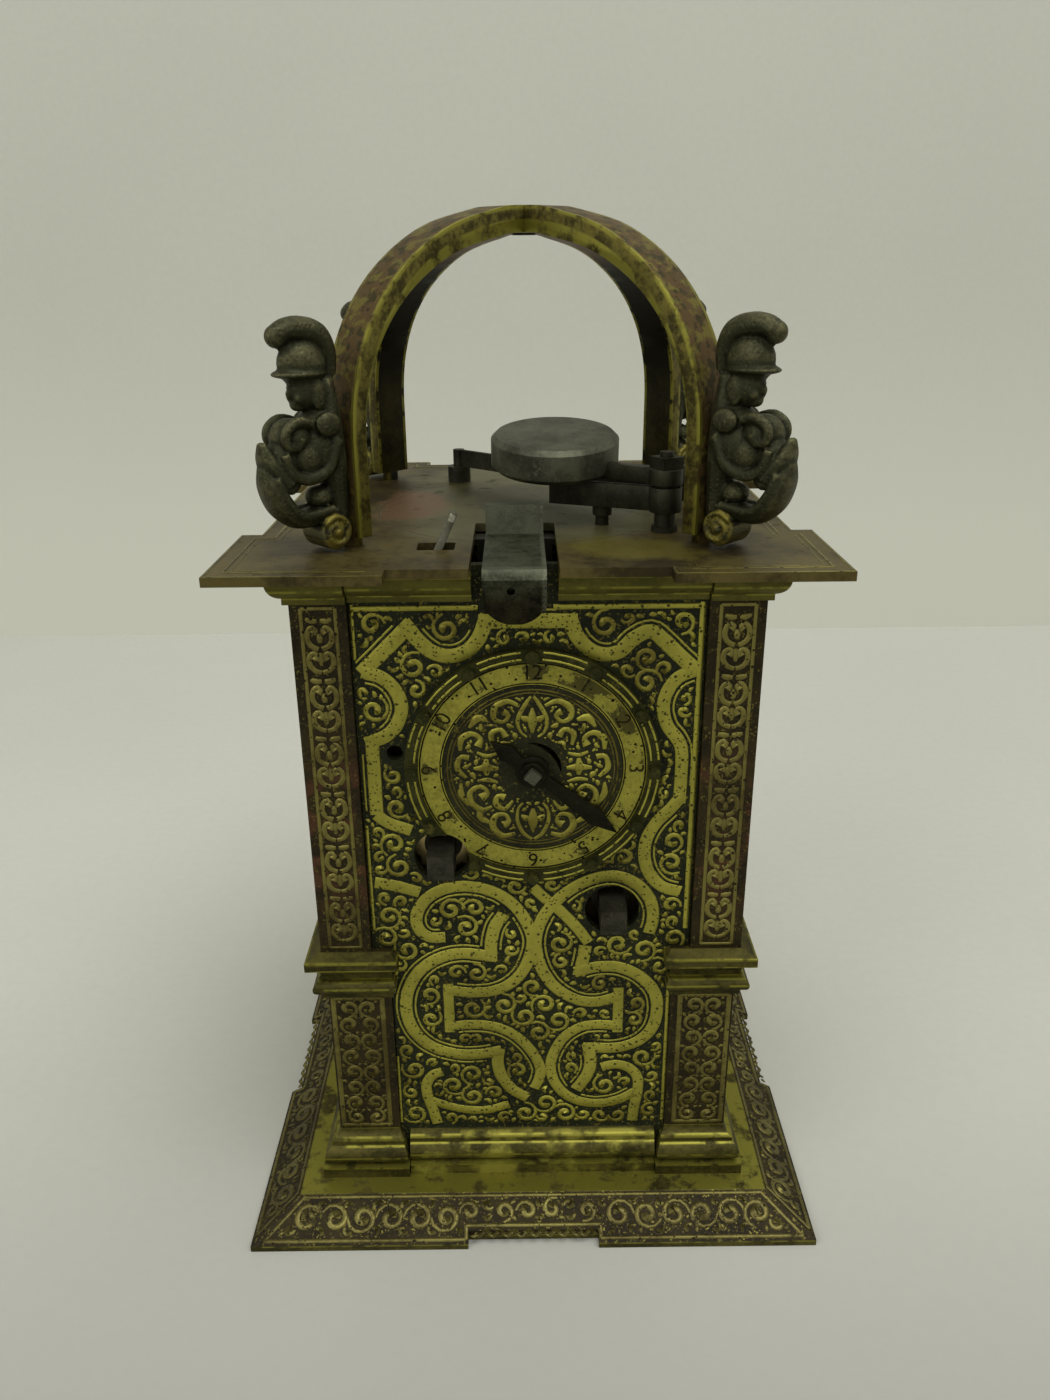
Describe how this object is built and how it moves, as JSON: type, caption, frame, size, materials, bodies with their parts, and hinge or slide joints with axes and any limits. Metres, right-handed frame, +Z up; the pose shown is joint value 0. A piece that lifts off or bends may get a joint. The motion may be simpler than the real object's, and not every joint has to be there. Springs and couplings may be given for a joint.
{
  "type": "table clock",
  "caption": "Square table clock with dial, winding squares, hammer on the top plate, a four-rib carrying handle with corner figures, and a verge movement inside",
  "frame": {"origin": "centre of the base on the surface the clock stands on", "axes": "+Z up the clock, -Y out of the dial, +X to the right as seen from the front"},
  "size_m": [0.1002, 0.1002, 0.1705],
  "materials": {
    "gilt_brass": "etched, worn gilding",
    "dial_brass": "engraved, gilt",
    "train_brass": "filed",
    "dark_bronze": "cast, dark patina",
    "forged_steel": "forged, darkened"
  },
  "bodies": {
    "case": {"balance_cock": "train_brass", "base_skirt": "gilt_brass", "bottom_plate": "gilt_brass", "case_screws": "forged_steel", "chapter_ring": "dial_brass", "crown_rivet": "forged_steel", "escape_potences": "forged_steel", "figure_back_left": "dark_bronze", "figure_back_right": "dark_bronze", "figure_front_left": "dark_bronze", "figure_front_right": "dark_bronze", "going_click": "forged_steel", "hammer_cock": "forged_steel", "hammer_counter_spring": "forged_steel", "handle_arch_over": "gilt_brass", "handle_arch_under": "gilt_brass", "latch_bracket": "forged_steel", "latch_pin": "forged_steel", "movement_back_plate": "train_brass", "movement_front_plate": "train_brass", "movement_pillars": "forged_steel", "panel_back": "gilt_brass", "panel_front": "gilt_brass", "panel_left": "gilt_brass", "panel_right": "gilt_brass", "post_back_left": "gilt_brass", "post_back_right": "gilt_brass", "post_front_left": "gilt_brass", "post_front_right": "gilt_brass", "release_bracket": "forged_steel", "strike_click": "forged_steel", "top_plate": "gilt_brass", "touch_ring": "dial_brass"},
    "hour_hand": {"hour_hand": "forged_steel", "hand_washer": "forged_steel", "dial_arbor": "forged_steel", "hour_wheel": "train_brass"},
    "alarm_disc": {"alarm_disc": "dial_brass"},
    "front_latch": {"front_latch": "forged_steel"},
    "release_lever": {"release_lever": "forged_steel"},
    "hammer": {"hammer_arbor": "forged_steel", "hammer_arm": "forged_steel", "hammer_head": "forged_steel", "hammer_nut": "forged_steel"},
    "going_barrel": {"going_barrel": "train_brass", "going_mainspring": "forged_steel"},
    "going_winding_arbor": {"going_winding_arbor": "forged_steel"},
    "second_wheel": {"second_wheel": "train_brass"},
    "contrate_wheel": {"contrate_wheel": "train_brass"},
    "escape_wheel": {"escape_wheel": "train_brass"},
    "verge": {"verge": "forged_steel", "balance": "forged_steel"},
    "strike_barrel": {"strike_barrel": "train_brass", "strike_mainspring": "forged_steel"},
    "strike_winding_arbor": {"strike_winding_arbor": "forged_steel"},
    "pin_wheel": {"pin_wheel": "train_brass"},
    "hoop_wheel": {"hoop_wheel": "train_brass"},
    "fly": {"fly": "forged_steel"},
    "count_wheel": {"count_wheel": "train_brass"}
  },
  "joints": [
    {"name": "hour_hand_turn", "type": "hinge", "parent": "case", "child": "hour_hand", "pos_m": [0.0005, -0.0349, 0.0873], "axis": [0, -1, 0], "continuous": true},
    {"name": "alarm_disc_turn", "type": "hinge", "parent": "case", "child": "alarm_disc", "pos_m": [0.0005, -0.0349, 0.0873], "axis": [0, -1, 0], "continuous": true},
    {"name": "front_latch_lift", "type": "hinge", "parent": "case", "child": "front_latch", "pos_m": [-0.002, -0.017, 0.1178], "axis": [-1, 0, 0], "range_deg": [0, 22], "stiffness_Nm_per_rad": 0.004, "springref_deg": -5.73},
    {"name": "release_lever_swing", "type": "hinge", "parent": "case", "child": "release_lever", "pos_m": [-0.01573, -0.029, 0.1172], "axis": [0, 1, 0], "range_deg": [-12, 12]},
    {"name": "hammer_swing", "type": "hinge", "parent": "case", "child": "hammer", "pos_m": [0.022, -0.0202, 0.122], "axis": [0, 0, 1], "range_deg": [-12, 14]},
    {"name": "going_barrel_turn", "type": "hinge", "parent": "case", "child": "going_barrel", "pos_m": [-0.0146, -0.0234, 0.0712], "axis": [0, -1, 0], "continuous": true},
    {"name": "going_winding_turn", "type": "hinge", "parent": "case", "child": "going_winding_arbor", "pos_m": [-0.0146, -0.0349, 0.0712], "axis": [0, -1, 0], "continuous": true},
    {"name": "second_wheel_turn", "type": "hinge", "parent": "case", "child": "second_wheel", "pos_m": [-0.01743, -0.005, 0.08578], "axis": [0, -1, 0], "continuous": true},
    {"name": "contrate_wheel_turn", "type": "hinge", "parent": "case", "child": "contrate_wheel", "pos_m": [-0.01401, 0.002, 0.09772], "axis": [0, -1, 0], "continuous": true},
    {"name": "escape_wheel_turn", "type": "hinge", "parent": "case", "child": "escape_wheel", "pos_m": [-0.00561, 0.00614, 0.09772], "axis": [1, 0, 0], "continuous": true},
    {"name": "verge_swing", "type": "hinge", "parent": "case", "child": "verge", "pos_m": [0.00485, 0.00614, 0.09772], "axis": [0, -1, 0], "range_deg": [-40, 40]},
    {"name": "strike_barrel_turn", "type": "hinge", "parent": "case", "child": "strike_barrel", "pos_m": [0.0138, -0.0234, 0.0604], "axis": [0, -1, 0], "continuous": true},
    {"name": "strike_winding_turn", "type": "hinge", "parent": "case", "child": "strike_winding_arbor", "pos_m": [0.0138, -0.0349, 0.0604], "axis": [0, -1, 0], "continuous": true},
    {"name": "pin_wheel_turn", "type": "hinge", "parent": "case", "child": "pin_wheel", "pos_m": [0.02111, -0.005, 0.07332], "axis": [0, -1, 0], "continuous": true},
    {"name": "hoop_wheel_turn", "type": "hinge", "parent": "case", "child": "hoop_wheel", "pos_m": [0.01618, 0.008, 0.08472], "axis": [0, -1, 0], "continuous": true},
    {"name": "fly_turn", "type": "hinge", "parent": "case", "child": "fly", "pos_m": [0.01824, 0.012, 0.09532], "axis": [0, -1, 0], "continuous": true},
    {"name": "count_wheel_turn", "type": "hinge", "parent": "case", "child": "count_wheel", "pos_m": [0.00817, 0.027, 0.06729], "axis": [0, -1, 0], "continuous": true}
  ],
  "couplings": [
    {"joint": "going_barrel_turn", "follows": "second_wheel_turn", "ratio": -0.125},
    {"joint": "hour_hand_turn", "follows": "second_wheel_turn", "ratio": 0.041667},
    {"joint": "contrate_wheel_turn", "follows": "second_wheel_turn", "ratio": -8},
    {"joint": "escape_wheel_turn", "follows": "second_wheel_turn", "ratio": 64},
    {"joint": "strike_barrel_turn", "follows": "pin_wheel_turn", "ratio": -0.125},
    {"joint": "hoop_wheel_turn", "follows": "pin_wheel_turn", "ratio": -8},
    {"joint": "fly_turn", "follows": "pin_wheel_turn", "ratio": 64},
    {"joint": "count_wheel_turn", "follows": "pin_wheel_turn", "ratio": -0.076923}
  ]
}
